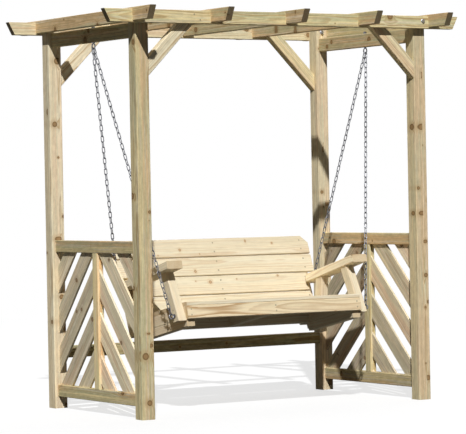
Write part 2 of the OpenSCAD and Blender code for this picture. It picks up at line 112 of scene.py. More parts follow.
class Graph:
    """A small writer of shader nodes."""

    def __init__(self, owner: Union[bpy.types.Material, bpy.types.World]) -> None:
        """Starts an empty node tree.

        Args:
            owner: New material or world that the nodes belong to.
        """
        owner.use_nodes = True
        self.owner = owner
        self.tree = owner.node_tree
        self.tree.nodes.clear()

    def add(
        self, kind: str, inputs: Optional[dict[Union[int, str], Value]] = None, **settings: object
    ) -> bpy.types.Node:
        """Adds a node, sets its properties and links or sets its inputs.

        Args:
            kind: Blender's name of the node type, without its leading "ShaderNode".
            inputs: Socket, number, vector or colour for each input's name or number.
            **settings: Properties of the node.

        Returns:
            The new node.
        """
        node = self.tree.nodes.new("ShaderNode" + kind)
        for key, value in settings.items():
            setattr(node, key, value)
        for key, value in (inputs or {}).items():
            socket = node.inputs[key]
            if isinstance(value, Socket):
                self.tree.links.new(value, socket)
            elif socket.type == "RGBA" and len(value) == 3:
                socket.default_value = (*value, 1.0)
            else:
                socket.default_value = value
        return node

    def math(self, operation: str, *values: Value) -> Socket:
        """Result of a Math node on up to three values."""
        return self.add("Math", dict(enumerate(values)), operation=operation).outputs[0]

    def vector(self, operation: str, *values: Value) -> Socket:
        """Vector from a Vector Math node."""
        return self.add("VectorMath", dict(enumerate(values)), operation=operation).outputs[0]

    def scalar(self, operation: str, *values: Value) -> Socket:
        """Number from a Vector Math node."""
        return self.add("VectorMath", dict(enumerate(values)), operation=operation).outputs[1]

    def combine(self, x: Value, y: Value, z: Value) -> Socket:
        """Vector from three numbers."""
        return self.add("CombineXYZ", {0: x, 1: y, 2: z}).outputs[0]

    def separate(self, vector: Value) -> tuple[Socket, Socket, Socket]:
        """Three numbers of a vector or colour."""
        return tuple(self.add("SeparateXYZ", {0: vector}).outputs)

    def source(self, kind: str) -> Socket:
        """Object coordinates or another output of a Texture Coordinate node."""
        return self.add("TexCoord").outputs[kind]

    def rest(self, value: Value) -> Socket:
        """What the value lacks to 1."""
        return self.math("SUBTRACT", 1.0, value)

    def vary(self, value: Value, width: float, base: Value) -> Socket:
        """The base, raised or lowered: base + (value - 0.5) · width."""
        return self.math("MULTIPLY_ADD", self.math("SUBTRACT", value, 0.5), width, base)

    def figure(self, place: Value, figure: Figure) -> bpy.types.Node:
        """Noise Texture of a figure in a place in metres."""
        return self.add("TexNoise", {
            "Vector": self.vector("MULTIPLY", place, (figure.along, figure.across, figure.across)),
            "Scale": 1.0, "Detail": figure.detail, "Roughness": figure.rough,
        })

    def step(self, value: Value, low: float, high: float) -> Socket:
        """Number that rises smoothly from 0 to 1 while the value goes from low to high."""
        ends = {"Value": value, "From Min": low, "From Max": high}
        return self.add("MapRange", ends, interpolation_type="SMOOTHSTEP").outputs[0]

    def blend(self, share: Value, first: Value, second: Value, mode: str = "MIX") -> Socket:
        """The first colour with a share, from 0 to 1, of the second laid over it."""
        inputs = {0: share, 6: first, 7: second}
        return self.add("Mix", inputs, data_type="RGBA", blend_type=mode).outputs[2]

    def tint(self, where: Socket, most: float, colour: Value, other: Value) -> Socket:
        """A colour with at most this share of the other one, only where the first number is 1."""
        return self.blend(self.math("MULTIPLY", where, most), colour, other)

    def seen(self) -> Socket:
        """Tells rays that are seen from those that only spread light.

        Returns:
            1 for the camera's rays, also by way of gloss or glass, and 0 for others.
        """
        rays = self.add("LightPath").outputs
        through = self.math("MAXIMUM", rays["Is Glossy Ray"], rays["Is Transmission Ray"])
        return self.math("MAXIMUM", rays["Is Camera Ray"], through)

    def close(self, shader: bpy.types.Node, output: str = "OutputMaterial") -> None:
        """Links the last shader to an output node of this kind."""
        self.add(output, {0: shader.outputs[0]})

    def finish(
        self, colour: Value, roughness: Value, height: Value, depth: float,
        metal: float = 0.0, gloss: float = 0.5,
    ) -> bpy.types.Material:
        """Closes the tree with a Principled BSDF.

        Args:
            colour: Base colour.
            roughness: Roughness.
            height: Height of the surface relief, 0 to 1.
            depth: Metres that the relief's whole height stands for.
            metal: Metallic value, the same all over.
            gloss: Specular level, the same all over.

        Returns:
            The finished material.
        """
        relief = self.add("Bump", {"Height": height, "Distance": depth})
        self.close(self.add("BsdfPrincipled", {
            "Base Color": colour, "Roughness": roughness, "Metallic": metal,
            "Specular IOR Level": gloss, "Normal": relief.outputs[0],
        }))
        return self.owner


# --finishes


@dataclass(frozen=True)
class Lay:
    """How the boards of one node lie, so that the grain runs along each of them.

    The node's own coordinates are turned until x runs along the board, y across its face
    and z square to its face, with the origin in the middle of the board or of the set.
    The shade scales the board's colour where it is set: partly the board's own tone beside
    others of the same timber, and partly painted shade where the board lies in shadow and
    painted light where it lies in the light. The second shade is a painted sheen for the
    boards before a herringbone's muntin. The paleness is how far the whole board has gone
    towards the bleached colour. A branch is a large knot that stands in a known place: the
    axis it runs along, y or z, its middle along the board and across the other axis, and
    its radius.
    """

    centre: Place
    along: Place
    across: Place
    seed: int
    pattern: Pattern = Pattern.SINGLE
    starts: Pair = (0.0, 0.0)
    pitches: Pair = (1.0, 1.0)
    slope: float = 0.0
    muntin: float = 0.0
    shade: float = 1.0
    # Painted sheen: shade of a herringbone's boards before the muntin, which slope the other way.
    second_shade: float = 1.0
    paleness: float = 0.0
    branches: tuple[Branch, ...] = ()


@dataclass(frozen=True)
class Timber:
    """Softwood with year rings round a pith beside the board, knots, streaks and stain.

    A pair of numbers says where a change begins and where it is complete. The end colour
    of sawn ends is partly darker end grain and partly painted shade.
    """

    name: str
    early: Colour
    late: Colour
    stain: Colour
    bleach: Colour
    heart: Colour
    knot: Colour
    rim: Colour
    # Colour of sawn ends: partly darker end grain, partly painted shade.
    end: Colour
    ring: float = 0.0042
    contrast: float = 0.75
    waver: float = 1.1
    late_rise: Pair = (0.25, 0.85)
    late_drop: Pair = (0.90, 1.0)
    late_least: float = 0.2
    stain_rise: Pair = (0.90, 1.16)
    stain_share: float = 0.8
    bleach_rise: Pair = (0.50, 0.66)
    bleach_share: float = 0.55
    heart_share: float = 0.75
    heart_edge: Pair = (0.0336, 0.0504)
    heart_wander: float = 0.05
    fibre_share: float = 0.15
    streak_share: float = 0.32
    mottle_share: float = 0.34
    board_change: float = 0.12
    trunk_length: float = 9.0
    pith_depth: float = 0.045
    pith_least: float = 0.35
    pith_spread: float = 0.05
    wander: float = 0.03
    knot_spacing: float = 0.3
    knot_sector: float = 1.5
    knot_radius: float = 0.016
    knot_least: float = 0.0006
    knot_chance: Pair = (0.35, 1.15)
    knot_ring: float = 0.0014
    knot_bulge: float = 1.5
    knot_edge: Pair = (0.75, 1.10)
    knot_share: float = 0.8
    rim_place: float = 0.95
    rim_fade: Pair = (0.10, 0.34)
    rim_share: float = 0.9
    halo_fade: Pair = (1.0, 3.4)
    halo_share: float = 0.42
    roughness: float = 0.9
    rough_change: float = 0.2
    gloss: float = 0.1
    relief: float = 0.0005
    fibre_height: float = 0.6
    end_turn: Pair = (0.72, 0.80)
    end_share: float = 0.8

    def material(self, name: str, lay: Lay) -> bpy.types.Material:
        """Finish for one node whose boards lie in this way."""
        return TimberGraph(f"{self.name}_{name}", self, lay).write()


class TimberGraph(Graph):
    """Writer of one node's timber.

    The rings are solid: ring number = distance from the wandering pith / ring width, so
    faces show long grain, flat-sawn faces show arches and ends show curved rings. A knot is
    a branch that leaves the pith straight out, so it is round on a face and long on an edge.
    """

    def __init__(self, name: str, timber: Timber, lay: Lay) -> None:
        """Finds a point's place in its tree, the nearest branch and the year rings.

        The pith lies behind the board and wanders.

        Args:
            name: Name of the material.
            timber: Its timber.
            lay: How the node's boards lie.
        """
        super().__init__(bpy.data.materials.new(name))
        self.timber, self.lay = timber, lay
        self.turned = self.turn()
        x, y, z, luck = self.board()
        self.chance, chance_y, chance_z = self.separate(luck)
        least = timber.pith_least * timber.pith_depth
        depth = self.math("MULTIPLY_ADD", chance_z, timber.pith_depth, least)
        self.trunk = self.math("MULTIPLY_ADD", self.chance, timber.trunk_length, x)
        aside = self.vary(chance_y, 2 * timber.pith_spread, y)
        behind = self.math("ADD", z, depth)
        drift = self.figure(self.combine(self.trunk, aside, behind), DRIFT).outputs["Color"]
        drift_a, drift_b, _ = self.separate(drift)
        self.aside = self.vary(drift_a, timber.wander, aside)
        self.behind = self.vary(drift_b, timber.wander, behind)
        self.place = self.combine(self.trunk, self.aside, self.behind)
        self.radius = self.scalar("LENGTH", self.combine(0.0, self.aside, self.behind))
        self.share, self.size = self.knots()
        self.bulged, self.late = self.rings()
        self.fibre = self.figure(self.place, FIBRE).outputs[0]

    def turn(self) -> tuple[Socket, Socket, Socket]:
        """Turns object coordinates into the board's own axes.

        Returns:
            x along the board, y across its face and z square to it.
        """
        x_axis = Vector(self.lay.along).normalized()
        z_axis = x_axis.cross(Vector(self.lay.across)).normalized()
        turn = Matrix((x_axis, z_axis.cross(x_axis), z_axis))
        return self.separate(self.add("Mapping", {
            "Vector": self.source("Object"), "Rotation": turn.to_euler(),
            "Location": turn @ -Vector(self.lay.centre),
        }).outputs[0])

    def board(self) -> tuple[Socket, Socket, Socket, Value]:
        """Coordinates in one board, with the origin in its middle, and the board's luck.

        A row gives each board the number floor((y - start) / pitch). In a herringbone the
        height plus the distance from the muntin times the slope's tangent is the same all
        along one slat, so that sum takes the place of y. The half behind the muntin has the
        first start and pitch, the half before it the second.

        Returns:
            x along the board, y across its face, z square to it, and three random numbers
            between 0 and 1 that are the same all over one board.
        """
        lay = self.lay
        x, y, z = self.turned
        if lay.pattern is Pattern.SINGLE:
            return x, y, z, tuple(np.random.default_rng(lay.seed).random(3).tolist())
        start, pitch, wing = lay.starts[0], lay.pitches[0], 0.0
        if lay.pattern is Pattern.HERRINGBONE:
            wing = self.math("LESS_THAN", x, 0.0)
            start, pitch = (
                self.math("MULTIPLY_ADD", wing, before - behind, behind)
                for behind, before in (lay.starts, lay.pitches)
            )
            out = self.math("SUBTRACT", self.math("ABSOLUTE", x), lay.muntin / 2)
            x = self.math("SUBTRACT", self.math("MULTIPLY", y, math.sin(lay.slope)),
                          self.math("MULTIPLY", out, math.cos(lay.slope)))
            y = self.math("MULTIPLY_ADD", out, math.tan(lay.slope), y)
        counted = self.math("DIVIDE", self.math("SUBTRACT", y, start), pitch)
        index = self.math("FLOOR", counted)
        share = self.math("SUBTRACT", self.math("SUBTRACT", counted, index), 0.5)
        y = self.math("MULTIPLY", self.math("MULTIPLY", share, pitch), math.cos(lay.slope))
        key = self.combine(index, wing, float(lay.seed))
        luck = self.add("TexWhiteNoise", {"Vector": key}, noise_dimensions="3D")
        return x, y, z, luck.outputs["Color"]

    def shade(self) -> Value:
        """The board's shade.

        Returns:
            The lay's second shade, a painted sheen, before a herringbone's muntin, and else
            the first.
        """
        lay = self.lay
        if lay.pattern is not Pattern.HERRINGBONE:
            return lay.shade
        # Painted sheen on the boards before the muntin.
        before = self.math("LESS_THAN", self.turned[0], 0.0)
        return self.math("MULTIPLY_ADD", before, lay.second_shade - lay.shade, lay.shade)

    def grow(self, share: Socket, size: Socket) -> tuple[Socket, Socket]:
        """Adds the branches in known places to the ones that grow by chance.

        The distance from a branch's own axis, as a share of its radius, takes the place of
        the nearest other branch's share wherever it is the smaller of the two.

        Args:
            share: Distance from the nearest branch so far, as a share of its radius.
            size: That radius.

        Returns:
            The same two numbers with the branches in known places.
        """
        x, y, z = self.turned
        for axis, along, across, radius in self.lay.branches:
            aside = self.math("SUBTRACT", z if axis == "y" else y, across)
            gap = self.combine(self.math("SUBTRACT", x, along), aside, 0.0)
            own = self.math("DIVIDE", self.scalar("LENGTH", gap), radius)
            nearer = self.math("LESS_THAN", own, share)
            size = self.math("MULTIPLY_ADD", nearer, self.math("SUBTRACT", radius, size), size)
            share = self.math("MINIMUM", share, own)
        return share, size

    def knots(self) -> tuple[Socket, Socket]:
        """Branches that leave the pith, one in each cell of trunk length and angle.

        Returns:
            Distance from the nearest branch's own pith as a share of its radius, and that
            radius.
        """
        timber = self.timber
        angle = self.math("ARCTAN2", self.behind, self.aside)
        cell = self.combine(self.math("DIVIDE", self.trunk, timber.knot_spacing),
                            self.math("DIVIDE", angle, timber.knot_sector), 0.0)
        cells = self.add("TexVoronoi", {"Vector": cell, "Scale": 1.0}, voronoi_dimensions="2D")
        there = cells.outputs["Position"]
        gap_x, gap_y, _ = self.separate(self.vector("SUBTRACT", cell, there))
        run = self.math("MULTIPLY", gap_x, timber.knot_spacing)
        arc = self.math("MULTIPLY", self.math("MULTIPLY", gap_y, timber.knot_sector), self.radius)
        away = self.scalar("LENGTH", self.combine(run, arc, 0.0))
        chance = self.add("TexWhiteNoise", {"Vector": there}, noise_dimensions="2D")
        grown = self.step(chance.outputs["Value"], *timber.knot_chance)
        size = self.math("MULTIPLY_ADD", grown, timber.knot_radius, timber.knot_least)
        return self.grow(self.math("DIVIDE", away, size), size)

    def rings(self) -> tuple[Socket, Socket]:
        """Year rings, which bulge outwards round a branch, and the branch's own inside it.

        Returns:
            Distance from the pith less the bulge, and strength of the latewood, 0 to 1.
        """
        timber, share, size = self.timber, self.share, self.size
        bulge = self.math("DIVIDE", self.math("MULTIPLY", size, timber.knot_bulge),
                          self.math("MULTIPLY_ADD", share, share, 1.0))
        bulged = self.math("SUBTRACT", self.radius, bulge)
        waver = self.figure(self.place, GRAIN).outputs[0]
        trunk_count = self.math("DIVIDE", bulged, timber.ring)
        trunk_count = self.math("MULTIPLY_ADD", waver, timber.waver, trunk_count)
        knot_count = self.math("MULTIPLY", share, size)
        knot_count = self.math("MULTIPLY", knot_count, 1 / timber.knot_ring)
        inside = self.math("LESS_THAN", share, 1.0)
        count = self.math("ADD", self.math("MULTIPLY", self.rest(inside), trunk_count),
                          self.math("MULTIPLY", inside, knot_count))
        part = self.math("FRACT", count)
        late = self.math("MULTIPLY", self.step(part, *timber.late_rise),
                         self.rest(self.step(part, *timber.late_drop)))
        number = self.math("FLOOR", count)
        year = self.add("TexWhiteNoise", {"W": number}, noise_dimensions="1D").outputs["Value"]
        strength = self.math("MULTIPLY_ADD", year, 1 - timber.late_least, timber.late_least)
        return bulged, self.math("MULTIPLY", late, strength)

    def sound_wood(self) -> Socket:
        """Brown heartwood inside, stained and bleached sapwood outside, and rings in both.

        Returns:
            Colour of the wood between its knots.
        """
        timber = self.timber
        patch = self.figure(self.place, PATCH).outputs[0]
        streaks = self.figure(self.place, STREAK).outputs["Color"]
        stain_streak, shade_streak, bleach_streak = self.separate(streaks)
        mottle = self.figure(self.place, MOTTLE).outputs[0]
        edge = self.vary(patch, timber.heart_wander, self.bulged)
        inner = self.rest(self.step(edge, *timber.heart_edge))
        colour = self.tint(inner, timber.heart_share, timber.early, timber.heart)
        stained = self.step(self.math("ADD", patch, stain_streak), *timber.stain_rise)
        colour = self.tint(stained, timber.stain_share, colour, timber.stain)
        bleached = self.step(bleach_streak, *timber.bleach_rise)
        bleached = self.math("MULTIPLY", bleached, timber.bleach_share)
        bleached = self.math("MAXIMUM", bleached, self.lay.paleness)
        colour = self.blend(bleached, colour, timber.bleach)
        colour = self.tint(self.late, timber.contrast, colour, timber.late)
        # The board's shade scales its colour: partly its own tone, partly painted light and shade.
        lift = self.vary(self.chance, timber.board_change, self.shade())
        for value, share in (
            (self.fibre, timber.fibre_share), (mottle, timber.mottle_share),
            (shade_streak, timber.streak_share),
        ):
            lift = self.vary(value, 2 * share, lift)
        return self.blend(1.0, colour, self.combine(lift, lift, lift), "MULTIPLY")

    def knotty(self, colour: Socket) -> Socket:
        """Knots with a dark rim, and darker wood round them.

        Args:
            colour: Colour of the sound wood.

        Returns:
            Colour with the knots.
        """
        timber, share = self.timber, self.share
        heart = self.rest(self.step(share, *timber.knot_edge))
        colour = self.tint(heart, timber.knot_share, colour, timber.knot)
        off_rim = self.math("ABSOLUTE", self.math("SUBTRACT", share, timber.rim_place))
        line = self.rest(self.step(off_rim, *timber.rim_fade))
        colour = self.tint(line, timber.rim_share, colour, timber.rim)
        halo = self.rest(self.step(share, *timber.halo_fade))
        return self.tint(halo, timber.halo_share, colour, timber.late)

    def sawn_ends(self, colour: Socket) -> Socket:
        """Darker sawn ends: faces that stand square to the board's length.

        Args:
            colour: Colour of the faces.

        Returns:
            Colour with the ends, darker partly from end grain and partly as painted shade.
        """
        along = tuple(Vector(self.lay.along).normalized())
        facing = self.scalar("DOT_PRODUCT", self.source("Normal"), along)
        # Faces square to the board's length take the end colour: end grain and painted shade.
        ends = self.step(self.math("ABSOLUTE", facing), *self.timber.end_turn)
        return self.tint(ends, self.timber.end_share, colour, self.timber.end)

    def write(self) -> bpy.types.Material:
        """Writes the whole finish.

        Returns:
            The finished material.
        """
        timber = self.timber
        colour = self.knotty(self.sound_wood())
        # Sawn ends darkened by end grain and by painted shade.
        if self.lay.pattern is not Pattern.HERRINGBONE:
            colour = self.sawn_ends(colour)
        height = self.math("MULTIPLY", self.late, 1 - timber.fibre_height)
        height = self.math("MULTIPLY_ADD", self.fibre, timber.fibre_height, height)
        rough = self.vary(self.fibre, timber.rough_change, timber.roughness)
        return self.finish(colour, rough, height, timber.relief, gloss=timber.gloss)


@dataclass(frozen=True)
class Zinc:
    """Zinc coat: crystals a few millimetres wide, and a little dulling."""

    name: str
    light: Colour
    dark: Colour
    crystal: float = 0.0025
    crystal_share: float = 0.45
    crystal_rough: float = 0.12
    dull_rise: Pair = (0.4, 0.7)
    dull_share: float = 0.5
    dull_rough: float = 0.15
    roughness: float = 0.36
    relief: float = 0.00004

    def material(self, name: str) -> bpy.types.Material:
        """Writes the finish for one piece.

        Args:
            name: Name of the piece.

        Returns:
            The finished material.
        """
        graph = Graph(bpy.data.materials.new(f"{self.name}_{name}"))
        place = graph.source("Object")
        cells = graph.add("TexVoronoi", {"Vector": place, "Scale": 1 / self.crystal})
        tone, other, _ = graph.separate(cells.outputs["Color"])
        dull = graph.figure(place, DULLING).outputs[0]
        dulled = graph.math("MULTIPLY", graph.step(dull, *self.dull_rise), self.dull_share)
        share = graph.math("MULTIPLY_ADD", tone, self.crystal_share, dulled)
        colour = graph.blend(share, self.light, self.dark)
        rough = self.roughness - self.crystal_rough
        rough = graph.math("MULTIPLY_ADD", dull, self.dull_rough, rough)
        rough = graph.math("MULTIPLY_ADD", other, self.crystal_rough, rough)
        return graph.finish(colour, rough, tone, self.relief, metal=1.0)


TREATED = Timber(
    "treated",
    early=(0.79, 0.665, 0.36),
    late=(0.43, 0.27, 0.11),
    stain=(0.54, 0.525, 0.31),
    bleach=(0.80, 0.71, 0.56),
    heart=(0.70, 0.475, 0.26),
    knot=(0.20, 0.095, 0.035),
    rim=(0.06, 0.03, 0.014),
    # Very dark ends: partly end grain, partly painted shade.
    end=(0.13, 0.095, 0.055),
)
SLATTED = replace(
    TREATED,
    name="treated_slat",
    early=(0.63, 0.54, 0.37),
    late=(0.38, 0.26, 0.15),
    stain=(0.45, 0.42, 0.29),
    bleach=(0.65, 0.58, 0.48),
    heart=(0.57, 0.41, 0.27),
    knot=(0.22, 0.11, 0.045),
    rim=(0.07, 0.035, 0.016),
    board_change=0.45,
    knot_radius=0.011,
)
PALE = Timber(
    "pale",
    early=(0.765, 0.675, 0.49),
    late=(0.61, 0.435, 0.25),
    stain=(0.72, 0.655, 0.475),
    bleach=(0.79, 0.735, 0.58),
    heart=(0.75, 0.60, 0.42),
    knot=(0.44, 0.235, 0.11),
    rim=(0.20, 0.10, 0.045),
    end=(0.50, 0.355, 0.19),
    ring=0.0055,
    contrast=0.6,
    stain_share=0.4,
    bleach_share=0.5,
    heart_share=0.6,
    streak_share=0.14,
    mottle_share=0.10,
    board_change=0.08,
    pith_depth=0.06,
    knot_spacing=0.26,
    knot_radius=0.008,
    roughness=0.88,
    relief=0.0003,
    end_share=0.6,
)
GRAINY = replace(
    PALE,
    name="grainy",
    early=(0.77, 0.64, 0.425),
    late=(0.39, 0.22, 0.09),
    stain=(0.71, 0.605, 0.395),
    bleach=(0.79, 0.675, 0.465),
    contrast=0.95,
    ring=0.006,
    pith_spread=0.02,
    wander=0.05,
    knot_radius=0.010,
)
PLATED = Zinc("zinc", light=(0.56, 0.57, 0.61), dark=(0.28, 0.29, 0.32))
# Chain coat: dark partly from dulled zinc and partly as painted reflection of dark surroundings.
CHAIN_STEEL = Zinc("chain", light=(0.27, 0.275, 0.30), dark=(0.045, 0.046, 0.055), crystal=0.005)
SCREW_STEEL = Zinc("screw", light=(0.46, 0.40, 0.28), dark=(0.27, 0.23, 0.16), roughness=0.45)


# --small fixings


@dataclass(frozen=True)
class Screw:
    """Countersunk screw head with a cross recess."""

    radius: float = 0.0042
    crown: float = 0.0005
    proud: float = 0.0002
    skirt: float = 0.0012
    recess: float = 0.0016
    arm: float = 0.0026
    arm_width: float = 0.0009
    arm_slack: float = 1e-6
    segments: int = 24
    rings: tuple[float, ...] = (0.12, 0.24, 0.42, 0.60, 0.66, 0.88, 1.0, 0.96)
    near_x: float = 0.8

    def corners(self) -> np.ndarray:
        """Corners of a lathe surface that is pressed in along a cross.

        Height over the wood = crown · (1 - (r / radius)²) + proud - recess, the last only
        where the smaller of |a| and |b| is within half the arm's width and r is within the
        arm's length. Below the rim a skirt goes into the wood.

        Returns:
            A first pole, the rings and a last pole, one row for each corner.
        """
        r = np.array(self.rings)[:, None] * self.radius
        turns = np.linspace(0, 2 * np.pi, self.segments, endpoint=False)
        a, b = r * np.cos(turns), r * np.sin(turns)
        height = self.crown * (1 - (r / self.radius) ** 2) + self.proud
        smaller = np.minimum(np.abs(a), np.abs(b))
        crossed = (smaller < self.arm_width / 2 + self.arm_slack) & (r < self.arm)
        height = np.where(crossed, height - self.recess, height)
        height[-1] = -self.skirt
        rings = np.stack((a, b, height), axis=-1).reshape(-1, 3)
        top = np.array([[0, 0, self.crown - self.recess]])
        bottom = np.array([[0, 0, -self.skirt]])
        return np.concatenate((top, rings, bottom))

    def faces(self) -> np.ndarray:
        """Faces between the corners.

        Returns:
            Corner numbers, four to a row, with the poles' triangles repeating a corner.
        """
        rows, columns = len(self.rings), self.segments
        ring = 1 + np.arange(rows * columns).reshape(rows, columns)
        following = np.roll(ring, -1, axis=1)
        walls = np.stack((ring[:-1], ring[1:], following[1:], following[:-1]), axis=-1)
        pole = np.zeros(columns, int)
        last = pole + 1 + rows * columns
        start = np.stack((pole, ring[0], following[0], following[0]), axis=-1)
        finish = np.stack((last, following[-1], ring[-1], ring[-1]), axis=-1)
        return np.concatenate((start, walls.reshape(-1, 4), finish))

    def drive(
        self, name: str, places: np.ndarray, normals: np.ndarray, body: Body, seed: int
    ) -> None:
        """Sets screw heads into wood faces as one piece, each turned by chance.

        A head's corner (a, b, c) goes to place + a·first axis + b·second axis + c·normal.

        Args:
            name: Name of the piece.
            places: Middles of the heads on the wood, one row each.
            normals: Directions out of the wood, one row each.
            body: Body that the screws move with.
            seed: Seed of the turning.
        """
        normals = normals / np.linalg.norm(normals, axis=1, keepdims=True)
        first = np.cross(normals, np.where(np.abs(normals[:, :1]) > self.near_x, [Y], [X]))
        first /= np.linalg.norm(first, axis=1, keepdims=True)
        turn = np.random.default_rng(seed).uniform(0, np.pi / 2, (len(places), 1))
        axis_a = np.cos(turn) * first + np.sin(turn) * np.cross(normals, first)
        axes = np.stack((axis_a, np.cross(normals, axis_a), normals), axis=1)
        corners, faces = self.corners(), self.faces()
        points = places[:, None, :] + np.einsum("vk,nkc->nvc", corners, axes)
        shifts = np.arange(len(places))[:, None, None] * len(corners)
        faces = (faces[None] + shifts).reshape(-1, faces.shape[1]).tolist()
        mesh = bpy.data.meshes.new(name)
        mesh.from_pydata(
            points.reshape(-1, 3).tolist(), [], [tuple(dict.fromkeys(f)) for f in faces]
        )
        mesh.materials.append(SCREW_STEEL.material(name))
        piece = bpy.data.objects.new(name, mesh)
        bpy.context.scene.collection.objects.link(piece)
        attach(piece, body.value)
        log.info("%s: %d faces on %s", name, len(mesh.polygons), body.value)


def dress(node: str, material: bpy.types.Material) -> None:
    """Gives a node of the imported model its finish.

    Args:
        node: Name of the node.
        material: Its new material.
    """
    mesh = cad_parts[node].data
    mesh.materials.clear()
    mesh.materials.append(material)
    log.info("%s: %s", node, material.name)


def middle(node: str) -> Place:
    """Middle of a node's box."""
    low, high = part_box(node)
    return tuple((low + high) / 2)


# --sub-assemblies


@dataclass
class Pergola:
    """Posts, beams, rafters, side beams, braces and stretcher.

    Each shade is followed by the board's paleness, and the knots' places along a post are
    heights over the ground. The shades are partly the boards' own tone and partly painted
    light and shade: painted shade darkens the side beams and the rear stretcher, which lie
    in shadow, and painted light lightens the rear posts and the braces.
    """

    half_x: float = 0.8125
    half_y: float = 0.445
    post: float = 0.070
    beam: float = 0.036
    beam_low: float = 1.890
    beam_height: float = 0.064
    rafter_top: float = 1.962
    rafter_out: float = 0.017
    rafters: int = 5
    brace_foot: Pair = (1.640, 1.618)
    brace_thickness: float = 0.045
    brace_screw: float = 0.045
    beam_screws: tuple[Pair, ...] = ((0.012, 0.018), (0.045, 0.044))
    first_seeds: tuple[tuple[str, int], ...] = (
        ("beam", 11), ("post", 21), ("brace", 31), ("side_beam", 41), ("rafter", 51),
    )
    stretcher_seed: int = 71
    screw_seed: int = 5
    # Shades: partly each board's own tone, partly painted shade (side beams, stretcher) and painted
    # light.
    shades: tuple[tuple[str, float, float], ...] = (
        ("post_front_left", 0.98, 0.1), ("post_front_right", 1.03, 0.3),
        ("post_rear_left", 1.10, 0.6), ("post_rear_right", 1.14, 0.5),
        ("beam_front", 1.04, 0.0), ("beam_rear", 1.12, 0.4),
        ("brace_front_right", 1.12, 0.3), ("brace_front_left", 1.12, 0.6),
        ("brace_rear_left", 1.12, 0.7), ("brace_rear_right", 1.05, 0.2),
        ("side_beam_left", 0.86, 0.0), ("side_beam_right", 0.92, 0.0),
        ("rear_stretcher", 0.66, 0.0),
    )
    seeds: tuple[tuple[str, int], ...] = (("rafter_1", 202), ("side_beam_left", 206))
    branches: tuple[tuple[str, tuple[Branch, ...]], ...] = (
        ("post_front_left", (("z", 0.303, -0.012, 0.0150), ("z", 0.080, 0.006, 0.0120),
                             ("y", 1.800, -0.012, 0.012), ("z", 0.990, 0.024, 0.007))),
        ("post_front_right", (("z", 1.386, 0.000, 0.0085), ("z", 1.080, -0.020, 0.008),
                              ("z", 0.635, 0.017, 0.010))),
        ("post_rear_left", (("z", 1.437, -0.008, 0.012), ("y", 0.437, -0.015, 0.009))),
        ("post_rear_right", (("z", 1.068, -0.016, 0.008),)),
    )

    def lays(self) -> dict[str, Lay]:
        """How each board of the pergola lies.

        Returns:
            A lay for each node's name.
        """
        found: dict[str, Lay] = {}

        def lay(kind: str, which: str, along: Place, across: Place) -> None:
            """Adds one board's lay."""
            node, seed = f"{kind}_{which}", dict(self.first_seeds)[kind] + len(found)
            found[node] = Lay(middle(node), along, across, seed)

        for end in ("front", "rear"):
            lay("beam", end, X, Z)
            for side in Side:
                lay("post", f"{end}_{side.word}", Z, X)
                lay("brace", f"{end}_{side.word}", (-side.value, 0.0, 1.0), (side.value, 0.0, 1.0))
        for side in Side:
            lay("side_beam", side.word, Y, Z)
        for number in range(1, self.rafters + 1):
            lay("rafter", str(number), Y, Z)
        found["rear_stretcher"] = Lay(middle("rear_stretcher"), X, Z, self.stretcher_seed)
        for name, shade, paleness in self.shades:
            found[name] = replace(found[name], shade=shade, paleness=paleness)
        for name, seed in self.seeds:
            found[name] = replace(found[name], seed=seed)
        for name, knots in self.branches:
            ground = found[name].centre[2]
            lifted = tuple((axis, up - ground, *rest) for axis, up, *rest in knots)
            found[name] = replace(found[name], branches=lifted)
        return found

    def dress(self) -> None:
        """Gives every board its grain."""
        for node, lay in self.lays().items():
            dress(node, TREATED.material(node, lay))

    def fix(self) -> None:
        """Screws: down through the rafters, through the beams into the braces, up the braces."""
        face = self.half_y + self.post / 2
        inner = self.half_x - self.post / 2
        reach = self.half_x + self.post / 2 + self.rafter_out
        screws: list[tuple[Place, Place]] = [
            ((float(x), front * (face + self.beam / 2), self.rafter_top), Z)
            for x in np.linspace(-reach, reach, self.rafters) for front in (-1, 1)
        ]
        for side in (-1, 1):
            for front, foot in zip((-1, 1), self.brace_foot):
                top = inner - (self.beam_low + self.beam_height / 2 - foot)
                screws += [
                    ((side * (top + out), front * (face + self.beam), self.beam_low + up),
                     (0, front, 0))
                    for out, up in self.beam_screws
                ]
                low = (side * (inner - self.brace_screw), front * (face - self.brace_thickness / 2),
                       foot + self.brace_screw)
                screws.append((low, (-side, 0, -1)))
        places, normals = (np.array(column, float) for column in zip(*screws))
        Screw().drive("screws_pergola", places, normals, Body.FRAME, self.screw_seed)


